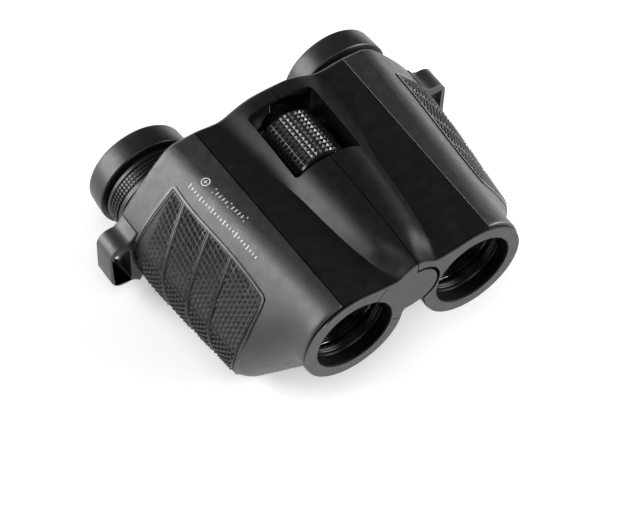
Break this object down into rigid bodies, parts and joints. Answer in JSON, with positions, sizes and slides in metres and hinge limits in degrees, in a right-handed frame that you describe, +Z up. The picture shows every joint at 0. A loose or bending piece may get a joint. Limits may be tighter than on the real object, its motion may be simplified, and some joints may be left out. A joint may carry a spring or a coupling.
{
  "type": "binoculars",
  "caption": "Compact reverse-Porro binoculars: rubber-armoured prism bodies on a centre hinge, sunk knurled focus wheel, diopter ring, eyecups and strap lugs.",
  "frame": {"origin": "middle of the object's footprint, on the surface it stands on", "axes": "+Y from the objectives to the eyepieces, +Z up through the focus wheel, +X towards the user's left barrel when seen from behind it"},
  "size_m": [0.1246, 0.0978, 0.0547],
  "materials": {
    "frame_plastic": "satin moulded black",
    "armour_rubber": "fine-grained matte black",
    "grip_rubber": "matte black, pyramid knurl",
    "bezel_plastic": "fine matte dark grey",
    "cover_plastic": "matte black",
    "optics_alloy": "black anodised",
    "lens_glass": "polished, coated",
    "prism_glass": "polished",
    "spring_steel": "bright",
    "shaft_steel": "ground",
    "spindle_brass": "threaded",
    "wheel_core": "smooth black",
    "wheel_rubber": "diamond knurl",
    "eyecup_rubber": "satin black",
    "diopter_plastic": "knurled black"
  },
  "bodies": {
    "left_body": {"left_frame": "frame_plastic", "left_armour": "armour_rubber", "left_front_bezel": "bezel_plastic", "left_rear_cover": "cover_plastic", "left_strap_lug": "armour_rubber", "left_grip_panel": "grip_rubber", "left_objective_retainer": "optics_alloy", "left_objective_seat": "optics_alloy", "left_objective_lens": "lens_glass", "left_rear_prism": "prism_glass", "left_front_prism": "prism_glass", "left_prism_shelf": "optics_alloy", "left_rear_prism_strap": "spring_steel", "left_front_prism_strap": "spring_steel", "hinge_tube": "shaft_steel"},
    "right_body": {"right_frame": "frame_plastic", "right_armour": "armour_rubber", "right_front_bezel": "bezel_plastic", "right_rear_cover": "cover_plastic", "right_strap_lug": "armour_rubber", "right_grip_panel": "grip_rubber", "right_objective_retainer": "optics_alloy", "right_objective_seat": "optics_alloy", "right_objective_lens": "lens_glass", "right_rear_prism": "prism_glass", "right_front_prism": "prism_glass", "right_prism_shelf": "optics_alloy", "right_rear_prism_strap": "spring_steel", "right_front_prism_strap": "spring_steel"},
    "focus_wheel": {"focus_wheel_core": "wheel_core", "focus_wheel_grip": "wheel_rubber"},
    "left_ocular": {"focus_spindle": "spindle_brass", "left_focus_arm": "spring_steel", "left_ocular_sleeve": "optics_alloy", "left_ocular_collar": "optics_alloy", "left_lens_barrel": "optics_alloy", "left_field_lens": "lens_glass", "left_eye_lens": "lens_glass", "left_eye_lens_ring": "optics_alloy", "left_eyecup": "eyecup_rubber"},
    "right_carriage": {"right_focus_arm": "spring_steel", "right_ocular_sleeve": "optics_alloy"},
    "diopter": {"diopter_ring": "diopter_plastic"},
    "right_ocular": {"right_lens_barrel": "optics_alloy", "right_field_lens": "lens_glass", "right_eye_lens": "lens_glass", "right_eye_lens_ring": "optics_alloy", "right_eyecup": "eyecup_rubber"}
  },
  "joints": [
    {"name": "interpupillary_hinge", "type": "hinge", "parent": "left_body", "child": "right_body", "pos_m": [0, 0, 0.0407], "axis": [0, -1, 0], "range_deg": [0, 33]},
    {"name": "focus_wheel_turn", "type": "hinge", "parent": "left_body", "child": "focus_wheel", "pos_m": [0, 0, 0.0407], "axis": [0, 1, 0], "range_deg": [-72, 120]},
    {"name": "left_ocular_focus", "type": "slide", "parent": "left_body", "child": "left_ocular", "axis": [0, 1, 0], "range_m": [-0.0012, 0.002]},
    {"name": "right_ocular_focus", "type": "slide", "parent": "right_body", "child": "right_carriage", "axis": [0, 1, 0], "range_m": [-0.0012, 0.002]},
    {"name": "diopter_turn", "type": "hinge", "parent": "right_carriage", "child": "diopter", "pos_m": [-0.036, 0, 0.0183], "axis": [0, 1, 0], "range_deg": [-45, 45]},
    {"name": "diopter_travel", "type": "slide", "parent": "right_carriage", "child": "right_ocular", "axis": [0, 1, 0], "range_m": [-0.0005, 0.0005]}
  ],
  "couplings": [
    {"joint": "focus_wheel_turn", "follows": "left_ocular_focus", "rad_per_m": 1047},
    {"joint": "right_ocular_focus", "follows": "left_ocular_focus", "ratio": 1},
    {"joint": "diopter_turn", "follows": "diopter_travel", "rad_per_m": 1570}
  ]
}
